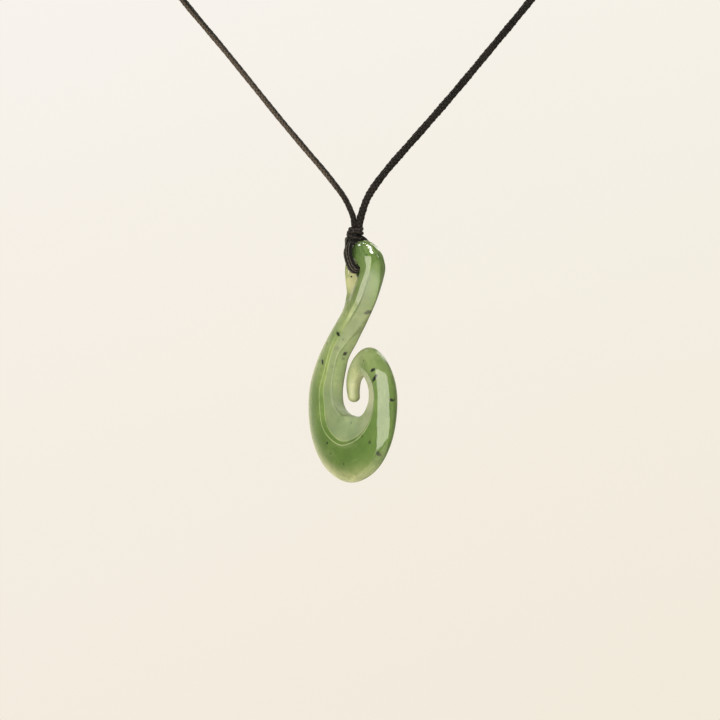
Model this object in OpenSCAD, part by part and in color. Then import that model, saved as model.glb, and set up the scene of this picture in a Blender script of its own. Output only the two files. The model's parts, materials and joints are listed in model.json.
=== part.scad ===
// Fish-hook pendant of polished green stone, hung on a waxed black neck cord.
// Millimetres, +Z up, -Y to the front, origin where the cord crosses the nape.

/* [Stone hook] */
// Height of the hook, top of the head to the foot of the bend
hook_h = 55; // [50:1:62]
// Thickness of the stone through the head
hook_t = 6.4; // [5.6:0.1:6.8]
// Diameter of the eye bored through the head, front to back
eye_d = 3.6; // [3.4:0.1:4]
// Depth of the teardrop hollow below the eye
scoop_d = 1.1; // [0.6:0.1:1.4]
// Turn of the hook's face away from the wearer's front, about the vertical
hook_turn = 50; // [40:5:60]

/* [Cord] */
// Diameter of the waxed neck cord
cord_d = 1.5; // [1.2:0.1:1.8]
// Width of the doubled cord where it passes through the eye
loop_w = 2.2; // [1.8:0.1:2.4]
// Thickness of the doubled cord where it passes through the eye
loop_t = 1.1; // [0.9:0.1:1.2]
// Diameter of the wrapped knot above the head
knot_d = 4.2; // [3.6:0.1:4.4]
// Height of the wrapped knot with its collar
knot_h = 3.9; // [3.7:0.1:4.2]
// Clear width of the loop across the neck
neck_w = 128; // [110:2:150]
// Diameter of the closing knot at the nape
nape_knot_d = 4.4; // [3.6:0.2:6]
// Length of the closing knot at the nape
nape_knot_len = 9; // [7:1:14]

/* [Hidden] */

stone = [0.42, 0.55, 0.33];
black = [0.12, 0.10, 0.10];

k = hook_h / 55;              // the hook's own scale across its face
kt = hook_t / 6.4;            // and through its thickness
knot_at = [-0.5, -108.45, -90.2];
// The knot seen from the eye: across the face, back, up
knot_from_eye = [-4.45, 0.2, 7.8] * k;
eye_at = knot_at - turned(knot_from_eye);
gap = 0.12;                   // air between two pieces of the cord

function turned(p) = [p[0]*cos(hook_turn) + p[1]*sin(hook_turn),
                      p[1]*cos(hook_turn) - p[0]*sin(hook_turn), p[2]];

// Spine of the hook seen from its face, from the top of the head to the tip.
// [ across, up from the eye, width, thickness, ridge 0-1, ridge shift inward ]
SPINE = [
    [ -0.8,   6.8,  9.8, 6.4, 0.0, 0.00],
    [ -0.6,   3.6, 11.4, 6.4, 0.0, 0.00],
    [ -0.2,   0.4, 11.8, 6.4, 0.0, 0.00],
    [ -0.3,  -3.0, 11.2, 6.3, 0.0, 0.00],
    [ -1.2,  -6.6,  9.0, 6.1, 0.0, 0.00],
    [ -3.4, -10.2,  7.2, 5.9, 0.0, 0.00],
    [ -6.7, -13.6,  6.6, 5.8, 0.2, 0.00],
    [-10.0, -17.2,  6.8, 5.8, 0.6, 0.10],
    [-12.5, -21.6,  8.4, 5.9, 1.0, 0.18],
    [-14.0, -26.6, 10.2, 6.0, 1.0, 0.20],
    [-14.0, -31.1, 11.6, 6.0, 1.0, 0.18],
    [-12.7, -35.5, 13.0, 6.1, 1.0, 0.14],
    [ -9.8, -39.0, 14.4, 6.2, 1.0, 0.14],
    [ -5.2, -40.6, 15.0, 6.2, 1.0, 0.14],
    [  0.0, -39.2, 13.4, 6.2, 1.0, 0.12],
    [  3.7, -35.6, 10.6, 6.1, 1.0, 0.08],
    [  5.6, -30.8,  7.8, 6.0, 1.0, 0.04],
    [  5.6, -26.4,  6.9, 5.8, 1.0, 0.00],
    [  4.1, -22.7,  6.4, 5.5, 1.0, 0.00],
    [  1.2, -20.4,  6.1, 5.0, 1.0, 0.00],
    [ -1.8, -21.3,  4.7, 4.3, 0.9, 0.00],
    [ -3.9, -23.9,  3.5, 3.6, 0.7, 0.00],
    [ -4.4, -26.8,  2.8, 3.2, 0.5, 0.00],
    [ -4.1, -29.6,  2.3, 3.0, 0.2, 0.00]];
STEPS = 3;                    // rings between two rows of the spine
SIDES = 24;                   // points round a section of the hook
HEAD_R = 7.5;                 // the head's round end, seen from its face
HEAD_EDGE = 5;                // the same end seen edge on
TIP_R = 1.1;                  // the tip's round end

// A smooth curve through the rows of a table, row and fraction in t
function row(T, i) = T[max(0, min(len(T) - 1, i))];
function curve(T, t) =
    let (i = min(len(T) - 2, floor(t)), f = t - i,
         a = row(T, i - 1), b = row(T, i), c = row(T, i + 1), d = row(T, i + 2))
    0.5 * (2*b + (c - a)*f + (2*a - 5*b + 4*c - d)*f*f + (3*b - a - 3*c + d)*f*f*f);
function flat(p) = [p[0], p[1]];
function heading(T, t) =
    let (v = flat(curve(T, min(len(T) - 1, t + 0.4))) - flat(curve(T, max(0, t - 0.4))))
    v / norm(v);

// How much of the full size is left near a round end of radius r
function round_end(s, r) = s >= r ? 1 : sqrt(max(0, 1 - pow(1 - s/r, 2)));

// Height of the face at c across the section: -1 is the bend's inside, 1 its outside
function ridge_outer(x) = sqrt(max(0, 1 - x)) * (1 + 0.35*x);
function ridge_inner(y) = (1 - 0.72*y) * sqrt(max(0, 1 - pow(y, 4)));
function face(c, s, ridge, shift) =
    (1 - ridge) * pow(abs(s), 0.85) +
    ridge * (c > 0 ? ridge_outer(c*(1 + shift*c)/(1 + shift))
                   : ridge_inner(-c*(1 + shift*c)/(1 - shift)));

function section(t) =
    let (p = curve(SPINE, t), d = heading(SPINE, t), n = [d[1], -d[0]],
         head = norm(flat(p) - flat(SPINE[0])),
         tip = norm(flat(p) - flat(SPINE[len(SPINE) - 1])),
         w = p[2]/2 * round_end(head, HEAD_R) * round_end(tip, TIP_R),
         h = p[3]/2 * round_end(head, HEAD_EDGE) * round_end(tip, TIP_R))
    [for (j = [0:SIDES-1])
        let (c = cos(360*j/SIDES), s = sin(360*j/SIDES), a = c - p[5]*s*s)
        [k*(p[0] + n[0]*w*a), -kt*sign(s)*h*face(c, s, p[4], p[5]), k*(p[1] + n[1]*w*a)]];

HEAD_STEPS = [0.005, 0.03, 0.08, 0.17, 0.3, 0.5, 0.75];
TIP_STEPS = [0.33, 0.6, 0.75, 0.87, 0.95, 0.995];
function ring_places(n) = concat(HEAD_STEPS,
    [for (i = [STEPS : STEPS*(n - 1)]) i/STEPS], [for (e = TIP_STEPS) n - 1 + e]);

// A closed skin over a list of rings that all have the same number of points
module skin(rings) {
    m = len(rings[0]);
    n = len(rings);
    polyhedron(
        points = [for (r = rings) each r],
        faces = concat([[for (j = [0:m-1]) m - 1 - j]], [[for (j = [0:m-1]) (n - 1)*m + j]],
            [for (i = [0:n-2], j = [0:m-1])
                [i*m + j, i*m + (j + 1)%m, (i + 1)*m + (j + 1)%m, (i + 1)*m + j]]),
        convexity = 6);
}

// Hollow that leads from the eye down to the edge of the head
SCOOP_R = 3.4;
SCOOP_LEN = 9;
module scoop() {
    translate([-0.9*k, -(hook_t/2 + SCOOP_R - scoop_d), -0.4*k])
        rotate([0, 27, 0]) rotate([-7, 0, 0]) {
            sphere(r = SCOOP_R, $fn = 48);
            rotate([180, 0, 0]) cylinder(r = SCOOP_R, h = SCOOP_LEN*k, $fn = 48);
        }
}

module hook() {
    color(stone) translate(eye_at) rotate([0, 0, -hook_turn])
        difference() {
            skin([for (t = ring_places(len(SPINE) - 1)) section(t)]);
            rotate([90, 0, 0]) cylinder(d = eye_d, h = 4*hook_t, center = true, $fn = 48);
            scoop();
            mirror([0, 1, 0]) scoop();
        }
}

// Rings of an oval cord along route points, its wide way held along side
function oval_rings(P, side, w, t, sides) =
    [for (i = [0:len(P)-1])
        let (d = P[min(len(P)-1, i+1)] - P[max(0, i-1)], u = d / norm(d),
             a = side - u*(side*u), b = a / norm(a), c = cross(b, u))
        [for (j = [0:sides-1])
            P[i] + b*w/2*cos(360*j/sides) + c*t/2*sin(360*j/sides)]];

// Half of the eye loop, [ out along the leg, out from the mid plane ]; the first
// rows lie in the eye, the rest follow the head
LEG = [[0.85, 0], [0.85, 2.4], [0.9, 3.1], [1.15, 3.7], [1.6, 4.1], [2.2, 4.25],
       [3.2, 4.25], [4.2, 4.1], [5.1, 3.75], [5.9, 3.2], [6.55, 2.5], [7, 1.75]];
LEG_TILT = 27;                // the loop leans this far to the bend's side
EYE_ROWS = 4;
function leg(i) = [LEG[i][0] + (i < EYE_ROWS ? 0 : (k - 1)*(LEG[i][0] - LEG[EYE_ROWS][0])),
                   LEG[i][1]*kt];

module eye_loop() {
    legs = concat([for (i = [len(LEG)-1:-1:1]) [leg(i)[0], -leg(i)[1]]],
                  [for (i = [0:len(LEG)-1]) leg(i)]);
    color(black) translate(eye_at) rotate([0, 0, -hook_turn]) rotate([0, -LEG_TILT, 0])
        skin(oval_rings([for (q = legs) [0, -q[1], q[0]]], [1, 0, 0], loop_w, loop_t, 12));
}

module pendant_knot() {
    r = knot_d/2;
    h = knot_h;
    color(black) translate(knot_at) rotate([0, 0, -hook_turn])
        rotate_extrude($fn = 32)
            polygon([[0, -0.4*h], [0.55*r, -0.4*h], [0.9*r, -0.25*h], [r, -0.05*h],
                     [0.95*r, 0.15*h], [0.75*r, 0.3*h], [0.8*r, 0.38*h], [0.8*r, 0.48*h],
                     [0.6*r, 0.55*h], [0, 0.55*h]]);
}

// Route of one side of the cord, from the knot to the side of the neck
STRAND = [[0.9, -108.5, -87.7], [1.5, -108.5, -85], [2.8, -108.4, -81.6], [4.8, -108.1, -78.3],
          [7.6, -107.5, -74.6], [11, -106.5, -70.6], [17.5, -104.5, -63.2],
          [24.5, -102, -55.1], [31.5, -99, -46.9], [38.3, -95.5, -38.6],
          [43.5, -92, -32], [48.5, -87, -25.5], [53, -81, -19.5], [57, -74, -14.5]];
// Route of the hidden stretch, from the side of the neck to the nape
NAPE = [[57, -74, -14.5], [60.3, -67, -10.9], [62.6, -58, -8], [63.8, -49.5, -6],
        [63.5, -41, -4.5], [61.6, -33, -3.4], [58, -25.5, -2.5], [53, -18.8, -1.8],
        [47, -13, -1.2], [40, -8.3, -0.7], [32, -4.7, -0.4], [24, -2.2, -0.2],
        [16, -0.7, 0], [8, 0, 0], [0, 0, 0]];
widen = neck_w / 128;
function side_of(P, hand) = [for (q = P) [hand * q[0] * widen, q[1], q[2]]];
function unit(v) = v / norm(v);

module cord_tube(P, side) {
    skin(oval_rings(P, side, cord_d, cord_d, 8));
}

// One side of the cord starts above the knot and stops short of the hidden stretch
module strand(hand) {
    P = side_of(STRAND, hand);
    n = len(P);
    last = P[n-1] - unit(P[n-1] - P[n-2]) * 2*gap;
    color(black) cord_tube([for (i = [0:n-1])
        i == n-1 ? last : i == 0 ? [hand * STRAND[0][0], P[0][1], P[0][2]] : P[i]], [0, 1, 0]);
}

module left_cord() { strand(-1); }
module right_cord() { strand(1); }

module nape_cord() {
    R = side_of(NAPE, 1);
    L = side_of(NAPE, -1);
    n = len(NAPE);
    color(black) cord_tube(concat(R, [for (i = [n-2:-1:0]) L[i]]), [0, 0, 1]);
}

module nape_knot() {
    r = nape_knot_d/2;
    h = nape_knot_len/2;
    color(black) rotate([0, 90, 0]) rotate_extrude($fn = 32)
        polygon([[cord_d/2 + gap, -h], [0.7*r, -h], [r, -0.75*h], [r, 0.75*h],
                 [0.7*r, h], [cord_d/2 + gap, h]]);
}

hook();
eye_loop();
pendant_knot();
left_cord();
right_cord();
nape_cord();
nape_knot();
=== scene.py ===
"""A greenstone fish-hook pendant on a braided waxed cord, hung in front of a plain cream studio sweep."""

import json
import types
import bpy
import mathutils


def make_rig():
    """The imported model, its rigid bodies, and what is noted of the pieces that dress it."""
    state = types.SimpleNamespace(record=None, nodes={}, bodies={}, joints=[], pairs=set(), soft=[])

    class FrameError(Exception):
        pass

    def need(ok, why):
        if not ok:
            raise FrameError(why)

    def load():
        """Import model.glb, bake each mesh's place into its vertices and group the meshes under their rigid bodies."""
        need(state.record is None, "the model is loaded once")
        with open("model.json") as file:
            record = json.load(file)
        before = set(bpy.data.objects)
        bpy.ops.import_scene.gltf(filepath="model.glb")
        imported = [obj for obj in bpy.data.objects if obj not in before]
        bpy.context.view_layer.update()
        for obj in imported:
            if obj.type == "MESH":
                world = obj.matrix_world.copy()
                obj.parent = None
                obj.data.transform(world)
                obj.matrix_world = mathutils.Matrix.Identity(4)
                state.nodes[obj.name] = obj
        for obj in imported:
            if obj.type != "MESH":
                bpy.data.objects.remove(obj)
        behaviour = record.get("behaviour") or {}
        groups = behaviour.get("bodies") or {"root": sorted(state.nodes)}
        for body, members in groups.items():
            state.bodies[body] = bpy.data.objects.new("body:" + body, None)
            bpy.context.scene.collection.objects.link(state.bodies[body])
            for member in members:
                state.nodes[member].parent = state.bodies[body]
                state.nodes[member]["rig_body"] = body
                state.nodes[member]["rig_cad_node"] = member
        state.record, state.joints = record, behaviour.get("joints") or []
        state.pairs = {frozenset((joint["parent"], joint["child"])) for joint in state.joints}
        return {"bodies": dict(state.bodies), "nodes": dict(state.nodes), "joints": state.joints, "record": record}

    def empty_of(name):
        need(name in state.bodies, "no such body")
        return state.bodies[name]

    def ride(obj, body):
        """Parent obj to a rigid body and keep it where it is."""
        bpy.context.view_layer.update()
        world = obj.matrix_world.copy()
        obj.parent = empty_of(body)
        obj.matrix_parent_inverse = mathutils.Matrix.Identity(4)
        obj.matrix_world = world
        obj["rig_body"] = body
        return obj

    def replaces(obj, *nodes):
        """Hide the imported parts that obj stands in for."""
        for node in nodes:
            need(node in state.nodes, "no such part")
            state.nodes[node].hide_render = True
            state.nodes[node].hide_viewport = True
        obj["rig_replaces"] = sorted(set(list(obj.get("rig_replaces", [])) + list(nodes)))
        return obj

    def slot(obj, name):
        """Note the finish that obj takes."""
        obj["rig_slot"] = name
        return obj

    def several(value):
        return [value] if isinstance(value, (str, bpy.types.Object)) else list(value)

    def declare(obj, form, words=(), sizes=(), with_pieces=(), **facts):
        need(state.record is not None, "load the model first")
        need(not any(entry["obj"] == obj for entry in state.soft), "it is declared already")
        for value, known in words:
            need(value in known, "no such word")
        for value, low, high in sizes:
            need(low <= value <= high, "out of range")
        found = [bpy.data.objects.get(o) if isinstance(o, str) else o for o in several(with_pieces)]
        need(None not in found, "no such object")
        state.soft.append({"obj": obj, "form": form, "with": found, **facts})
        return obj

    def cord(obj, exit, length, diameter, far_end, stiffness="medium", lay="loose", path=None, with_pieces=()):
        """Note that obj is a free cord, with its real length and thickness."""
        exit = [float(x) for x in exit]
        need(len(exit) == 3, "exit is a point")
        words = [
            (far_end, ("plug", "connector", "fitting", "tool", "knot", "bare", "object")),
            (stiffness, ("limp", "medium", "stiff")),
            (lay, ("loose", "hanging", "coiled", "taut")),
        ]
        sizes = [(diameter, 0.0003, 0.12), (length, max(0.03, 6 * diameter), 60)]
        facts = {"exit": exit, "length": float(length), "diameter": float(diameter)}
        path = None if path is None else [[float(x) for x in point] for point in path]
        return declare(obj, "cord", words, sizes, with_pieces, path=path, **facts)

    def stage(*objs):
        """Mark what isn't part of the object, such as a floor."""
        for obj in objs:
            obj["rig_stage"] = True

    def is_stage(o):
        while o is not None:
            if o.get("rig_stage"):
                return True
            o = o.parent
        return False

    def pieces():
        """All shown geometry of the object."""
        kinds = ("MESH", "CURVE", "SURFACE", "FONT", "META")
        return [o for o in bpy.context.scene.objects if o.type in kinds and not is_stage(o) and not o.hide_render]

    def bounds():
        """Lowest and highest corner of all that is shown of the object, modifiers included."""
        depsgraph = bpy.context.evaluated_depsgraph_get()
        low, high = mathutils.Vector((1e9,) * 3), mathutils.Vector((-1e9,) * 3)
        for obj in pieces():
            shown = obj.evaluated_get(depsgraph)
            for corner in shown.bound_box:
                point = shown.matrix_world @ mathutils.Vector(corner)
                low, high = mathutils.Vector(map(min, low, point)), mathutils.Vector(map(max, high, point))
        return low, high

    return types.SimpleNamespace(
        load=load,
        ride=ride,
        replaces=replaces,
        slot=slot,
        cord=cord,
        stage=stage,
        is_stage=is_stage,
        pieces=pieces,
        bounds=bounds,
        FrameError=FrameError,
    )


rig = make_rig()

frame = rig.load()
cad_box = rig.bounds()

import json
from math import atan2, ceil, cos, floor, pi, radians, sin, sqrt, tan

import bmesh
import bpy
from mathutils import Matrix, Vector
from mathutils.kdtree import KDTree

MM = 0.001
scene = bpy.context.scene


# ---------------------------------------------------------------- camera
CAMERA_AT = (0.00084, -1.01, -0.11825)
CAMERA_TOWARDS = (0.00084, -0.11, -0.11825)
CAMERA_LENS = 198.9  # mm, on a sensor 36 mm wide


def look_from(place, towards, lens):
    """The camera at the photograph's viewing angle."""
    data = bpy.data.cameras.new("photo_camera")
    data.sensor_width = 36
    data.lens = lens
    data.clip_start = 0.01
    data.clip_end = 20
    camera = bpy.data.objects.new("photo_camera", data)
    scene.collection.objects.link(camera)
    camera.location = place
    camera.rotation_euler = (Vector(towards) - Vector(place)).to_track_quat("-Z", "Y").to_euler()
    scene.camera = camera


look_from(CAMERA_AT, CAMERA_TOWARDS, CAMERA_LENS)


# ---------------------------------------------------------------- small maths
def between(a, b, x):
    """0 at a, 1 at b, smooth on the way."""
    t = min(1.0, max(0.0, (x - a) / (b - a)))
    return t * t * (3 - 2 * t)


def mix(a, b, t):
    """a at t = 0, b at t = 1."""
    return a + (b - a) * t


def on_curve(rows, t):
    """The Catmull-Rom curve through the rows, at row number t."""
    last = len(rows) - 1
    i = min(last - 1, max(0, floor(t)))
    f = t - i
    a, b, c, d = (rows[max(0, min(last, j))] for j in (i - 1, i, i + 1, i + 2))
    return [
        0.5 * (2 * q + (r - p) * f + (2 * p - 5 * q + 4 * r - s) * f * f + (3 * q - p - 3 * r + s) * f**3)
        for p, q, r, s in zip(a, b, c, d)
    ]


def run_lengths(points):
    """How far along each point is."""
    far = [0.0]
    for a, b in zip(points, points[1:]):
        far.append(far[-1] + (b - a).length)
    return far


def heading(points, i):
    """The direction of the way at point i."""
    return (points[min(i + 1, len(points) - 1)] - points[max(0, i - 1)]).normalized()


CURVE_PARTS = 40  # short straight parts from row to row, to measure a curve with


def even_points(rows, step):
    """Points along the curve through the rows, one step apart, and how far along each is."""
    fine = [Vector(on_curve(rows, i / CURVE_PARTS)) for i in range(CURVE_PARTS * (len(rows) - 1) + 1)]
    far = run_lengths(fine)
    count = ceil(far[-1] / step)
    points, i = [], 0
    for n in range(count + 1):
        s = far[-1] * n / count
        while i < len(fine) - 2 and far[i + 1] < s:
            i += 1
        gap = far[i + 1] - far[i]
        points.append(fine[i].lerp(fine[i + 1], (s - far[i]) / gap if gap else 0))
    return points, [far[-1] * n / count for n in range(count + 1)]


# ---------------------------------------------------------------- mesh making
def wrapped_skin(rows, around, place, uv, closed=False):
    """A grid from bmesh, wrapped into a tube, with its seam welded and its ends closed.

    place(i, j) is where a point goes, and uv(i, j) its place on the pattern.
    """
    bm = bmesh.new()
    bmesh.ops.create_grid(bm, x_segments=rows - 1, y_segments=around, size=1)
    bm.verts.ensure_lookup_table()
    layer = bm.loops.layers.uv.new("UVMap")
    spot = {}
    for v in bm.verts:
        i = round((v.co.x + 1) / 2 * (rows - 1))
        j = round((v.co.y + 1) / 2 * around)
        spot[v] = (i, j)
    for face in bm.faces:
        for loop in face.loops:
            loop[layer].uv = uv(*spot[loop.vert])
    for v, (i, j) in spot.items():
        v.co = place(i, j % around)
    seam = {i: v for v, (i, j) in spot.items() if j == around}
    first = {i: v for v, (i, j) in spot.items() if j == 0}
    welds = {seam[i]: first[i] for i in seam}
    if closed:
        start = {j: v for v, (i, j) in spot.items() if i == 0}
        for v, (i, j) in spot.items():
            if i == rows - 1:
                welds[v] = start[j % around]
        welds[seam[0]] = first[0]
    bmesh.ops.weld_verts(bm, targetmap=welds)
    bmesh.ops.holes_fill(bm, edges=[e for e in bm.edges if e.is_boundary], sides=0)
    bmesh.ops.recalc_face_normals(bm, faces=bm.faces)
    return bm


def join_into(whole, part):
    """Adds one bmesh to another."""
    mesh = bpy.data.meshes.new("part")
    part.to_mesh(mesh)
    part.free()
    whole.from_mesh(mesh)
    bpy.data.meshes.remove(mesh)


def object_from(name, bm):
    """An object whose mesh is the bmesh, which it uses up."""
    mesh = bpy.data.meshes.new(name)
    bm.to_mesh(mesh)
    bm.free()
    thing = bpy.data.objects.new(name, mesh)
    scene.collection.objects.link(thing)
    return thing


def spun(profile, axis, steps):
    """A profile spun right round an axis through the origin, with its faces turned outwards."""
    bm = bmesh.new()
    made = [bm.verts.new(point) for point in profile]
    edges = [bm.edges.new(pair) for pair in zip(made, made[1:])]
    bmesh.ops.spin(
        bm, geom=made + edges, cent=(0, 0, 0), axis=axis, angle=2 * pi, steps=steps, use_merge=True, use_duplicate=False
    )
    bmesh.ops.remove_doubles(bm, verts=bm.verts, dist=1e-5)
    bmesh.ops.recalc_face_normals(bm, faces=bm.faces)
    return bm


def finished_piece(name, bm, material, body, slot, node):
    """A piece made in millimetres becomes an object in metres that rides on a body in place of a CAD node."""
    bmesh.ops.scale(bm, vec=(MM, MM, MM), verts=bm.verts)
    piece = object_from(name, bm)
    piece.data.shade_smooth()
    piece.data.materials.append(material)
    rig.ride(piece, body)
    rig.slot(piece, slot)
    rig.replaces(piece, node)
    return piece


# ---------------------------------------------------------------- shader helpers
def rgb(r, g, b):
    """A colour as a socket takes it."""
    return (r, g, b, 1.0)


class Nodes:
    """A node tree with short ways to add nodes and join them."""

    def __init__(self, tree):
        self.tree = tree

    def add(self, kind, settings=None, **inputs):
        """A new node. An input is named, or given by its number as _0, _1 and so on."""
        node = self.tree.nodes.new("ShaderNode" + kind)
        for key, value in (settings or {}).items():
            setattr(node, key, value)
        for key, value in inputs.items():
            self.feed(node.inputs[int(key[1:]) if key[1:].isdigit() else key.replace("_", " ")], value)
        return node

    def feed(self, socket, value):
        """Joins a socket to another, or sets it to a value."""
        if isinstance(value, bpy.types.NodeSocket):
            self.tree.links.new(value, socket)
        elif isinstance(value, bpy.types.Node):
            self.tree.links.new(value.outputs[0], socket)
        else:
            socket.default_value = value

    def maths(self, operation, a, b=0.0):
        """One Math node."""
        return self.add("Math", {"operation": operation}, _0=a, _1=b).outputs[0]

    def times(self, *values):
        """The product of two or more values."""
        product = values[0]
        for value in values[1:]:
            product = self.maths("MULTIPLY", product, value)
        return product

    def plus(self, *values):
        """The sum of two or more values."""
        whole = values[0]
        for value in values[1:]:
            whole = self.maths("ADD", whole, value)
        return whole

    def distance(self, x, at):
        """How far x is from a value, either way."""
        return self.maths("ABSOLUTE", self.maths("SUBTRACT", x, at))

    def opposite(self, x):
        """0 where x is 1, and 1 where x is 0."""
        return self.maths("SUBTRACT", 1.0, x)

    def step(self, x, low, high, out_low=0.0, out_high=1.0):
        """A smooth change from out_low to out_high as x goes from low to high."""
        node = self.add(
            "MapRange", {"interpolation_type": "SMOOTHSTEP"}, _0=x, _1=low, _2=high, _3=out_low, _4=out_high
        )
        return node.outputs[0]

    def window(self, x, rise, full, fall, gone):
        """1 while x is between full and fall, and 0 before rise and after gone."""
        return self.times(self.step(x, rise, full), self.step(x, gone, fall))

    def near(self, x, at, outer, inner):
        """1 where x is within inner of a value, and 0 past outer."""
        return self.step(self.distance(x, at), outer, inner)

    def noise(self, place, scale, detail, **more):
        """A noise of 0 to 1."""
        return self.add("TexNoise", _0=place, Scale=scale, Detail=detail, **more).outputs[0]

    def object_place(self):
        """The place in the object's own frame, in metres."""
        return self.add("TexCoord").outputs["Object"]

    def pattern_place(self):
        """The place on the cord's pattern: mm along it, and turns round it."""
        return self.add("SeparateXYZ", _0=self.add("UVMap", {"uv_map": "UVMap"}))

    def blend(self, share, a, b, how="MIX"):
        """From colour a to colour b by their share."""
        node = self.tree.nodes.new("ShaderNodeMix")
        node.data_type = "RGBA"
        node.blend_type = how
        self.feed(node.inputs[0], share)
        self.feed(node.inputs[6], a)
        self.feed(node.inputs[7], b)
        return node.outputs[2]

    def ramp(self, place, tones):
        """A colour ramp with its stops at the given places."""
        node = self.add("ValToRGB", _0=place)
        stops = node.color_ramp.elements
        while len(stops) < len(tones):
            stops.new(0.5)
        for stop, (at, tone) in zip(stops, tones):
            stop.position = at
            stop.color = rgb(*tone)
        return node.outputs[0]

    def value(self, name):
        """A number kept at each point of the mesh."""
        return self.add("Attribute", {"attribute_name": name}).outputs["Fac"]


def new_group(name, inputs, outputs):
    """A shader node group with named inputs and outputs: (name, socket kind, start value)."""
    tree = bpy.data.node_groups.new(name, "ShaderNodeTree")
    for socket, kind, start in inputs:
        made = tree.interface.new_socket(socket, in_out="INPUT", socket_type="NodeSocket" + kind)
        if start is not None:
            made.default_value = start
    for socket, kind in outputs:
        tree.interface.new_socket(socket, in_out="OUTPUT", socket_type="NodeSocket" + kind)
    n = Nodes(tree)
    return n, tree.nodes.new("NodeGroupInput"), tree.nodes.new("NodeGroupOutput")


def empty_nodes(owner):
    """The emptied node tree of a material or world."""
    owner.use_nodes = True
    owner.node_tree.nodes.clear()
    return Nodes(owner.node_tree)


def new_material(name, **surface):
    """A material of one Principled BSDF, with the given values on its sockets."""
    material = bpy.data.materials.new(name)
    n = empty_nodes(material)
    shader = n.add("BsdfPrincipled", **surface)
    n.feed(n.add("OutputMaterial").inputs["Surface"], shader)
    return material, n, shader


# ---------------------------------------------------------------- braided waxed cord: finish
PLAITS = 4  # crossings round the cord
PLAIT_LENGTH = 0.95  # mm of cord for each crossing


def braid_group():
    """Yarns that cross over and under one another."""
    n, given, out = new_group(
        "Braided yarn",
        [("Fibre Lines", "Float", 4.0), ("Wear", "Float", 0.5)],
        [("Height", "Float"), ("Gap", "Float"), ("Shine", "Float")],
    )
    place = n.pattern_place()
    along = n.maths("DIVIDE", place.outputs[0], PLAIT_LENGTH)
    round_it = n.times(place.outputs[1], PLAITS)
    one, two = n.plus(round_it, along), n.maths("SUBTRACT", round_it, along)
    parity = n.maths("FLOORED_MODULO", n.plus(n.maths("FLOOR", one), n.maths("FLOOR", two)), 2.0)
    over = n.maths("GREATER_THAN", parity, 0.5)

    def upper(first, second):
        """The first where the one yarn lies over the other, and the second where it lies under."""
        return n.plus(n.times(over, first), n.times(n.opposite(over), second))

    def from_side(x):
        """How far x is from the nearer of 0 and 1."""
        return n.maths("SUBTRACT", 0.5, n.distance(x, 0.5))

    f_one, f_two = n.maths("FRACT", one), n.maths("FRACT", two)
    across, down = upper(f_one, f_two), upper(f_two, f_one)
    edge, end = from_side(across), from_side(down)
    gap = n.maths("MAXIMUM", n.step(edge, 0.16, 0.0), n.times(n.step(end, 0.10, 0.0), 0.6))
    twist = n.plus(n.times(across, given.outputs["Fibre Lines"]), n.times(down, 1.3))
    thread = n.maths("SINE", n.times(twist, 2 * pi))
    uneven = n.noise(n.object_place(), 2600.0, 3.0)
    thread = n.times(thread, n.step(uneven, 0.3, 0.7, 0.35, 1.0))
    n.feed(out.inputs["Height"], n.maths("SUBTRACT", n.times(thread, 0.35), gap))
    n.feed(out.inputs["Gap"], gap)
    # yarn crests take wear and a painted sheen
    rub_and_sheen = n.times(n.step(edge, 0.15, 0.5), n.step(uneven, 0.45, 0.75))
    n.feed(out.inputs["Shine"], n.times(rub_and_sheen, given.outputs["Wear"]))
    return n.tree


yarn = braid_group()
# painted shade: the near-black of the gaps between yarns, and between cords that lie side by side
GAP_SHADE = rgb(0.001, 0.0008, 0.0008)  # between yarns, and between cords that lie side by side
# worn yarn, and also a painted sheen on the yarn crests
YARN_WEAR_AND_SHEEN = rgb(0.100, 0.085, 0.070)
# painted light on the left strand's lower flank
LIT_FLANK_BROWN = rgb(0.072, 0.058, 0.044)


def cord_finish(name, wax, wear, dark, light, flank_light, packed=0.0, crest=GAP_SHADE):
    """Waxed black braid, from dark to light in patches.

    wax is how much it shines, wear how worn its yarns are and how much painted sheen their crests take, and flank_light
    how much painted light turns the left side's lower flank brown.
    packed is for cords side by side: how much painted shade lies between them and how much of the crest tone, a painted
    highlight, their crests take.
    """
    material, n, shader = new_material(
        name, Roughness=0.4, IOR=1.5, Specular_IOR_Level=wax, Coat_Weight=0.0, Sheen_Weight=0.01, Sheen_Roughness=0.5
    )
    braid = n.add("Group", {"node_tree": yarn}, Wear=wear)
    height, gap, shine = (braid.outputs[k] for k in ("Height", "Gap", "Shine"))
    patches = n.noise(n.object_place(), 160.0, 2.0)
    colour = n.blend(n.step(patches, 0.35, 0.7), dark, light)
    # painted light: the left side's flank that looks down is lit brown-grey
    side = n.add("SeparateXYZ", _0=n.object_place()).outputs[0]
    turn = n.pattern_place().outputs[1]
    flank_lit = n.times(n.near(turn, 0.62, 0.32, 0.18), n.step(side, -0.001, -0.008), flank_light)
    colour = n.blend(flank_lit, colour, LIT_FLANK_BROWN)
    # cords packed side by side: painted highlights on their crests, and painted shade between them
    lean = n.maths("ABSOLUTE", n.maths("COSINE", n.times(turn, 2 * pi)))
    colour = n.blend(n.times(n.step(lean, 0.60, 0.10), 0.55 * packed), colour, crest)
    # worn yarns, with a painted sheen on their crests
    colour = n.blend(shine, colour, YARN_WEAR_AND_SHEEN)
    # painted shade between packed cords, and in the gaps between the yarns
    colour = n.blend(n.times(n.step(lean, 0.55, 0.95), 0.9 * packed), colour, GAP_SHADE)
    colour = n.blend(n.times(gap, 0.95), colour, GAP_SHADE)
    n.feed(shader.inputs["Base Color"], colour)
    n.feed(shader.inputs["Roughness"], n.step(patches, 0.3, 0.7, 0.30, 0.46))
    n.feed(shader.inputs["Normal"], n.add("Bump", Strength=0.9, Distance=0.00012, Height=height))
    return material


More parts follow.
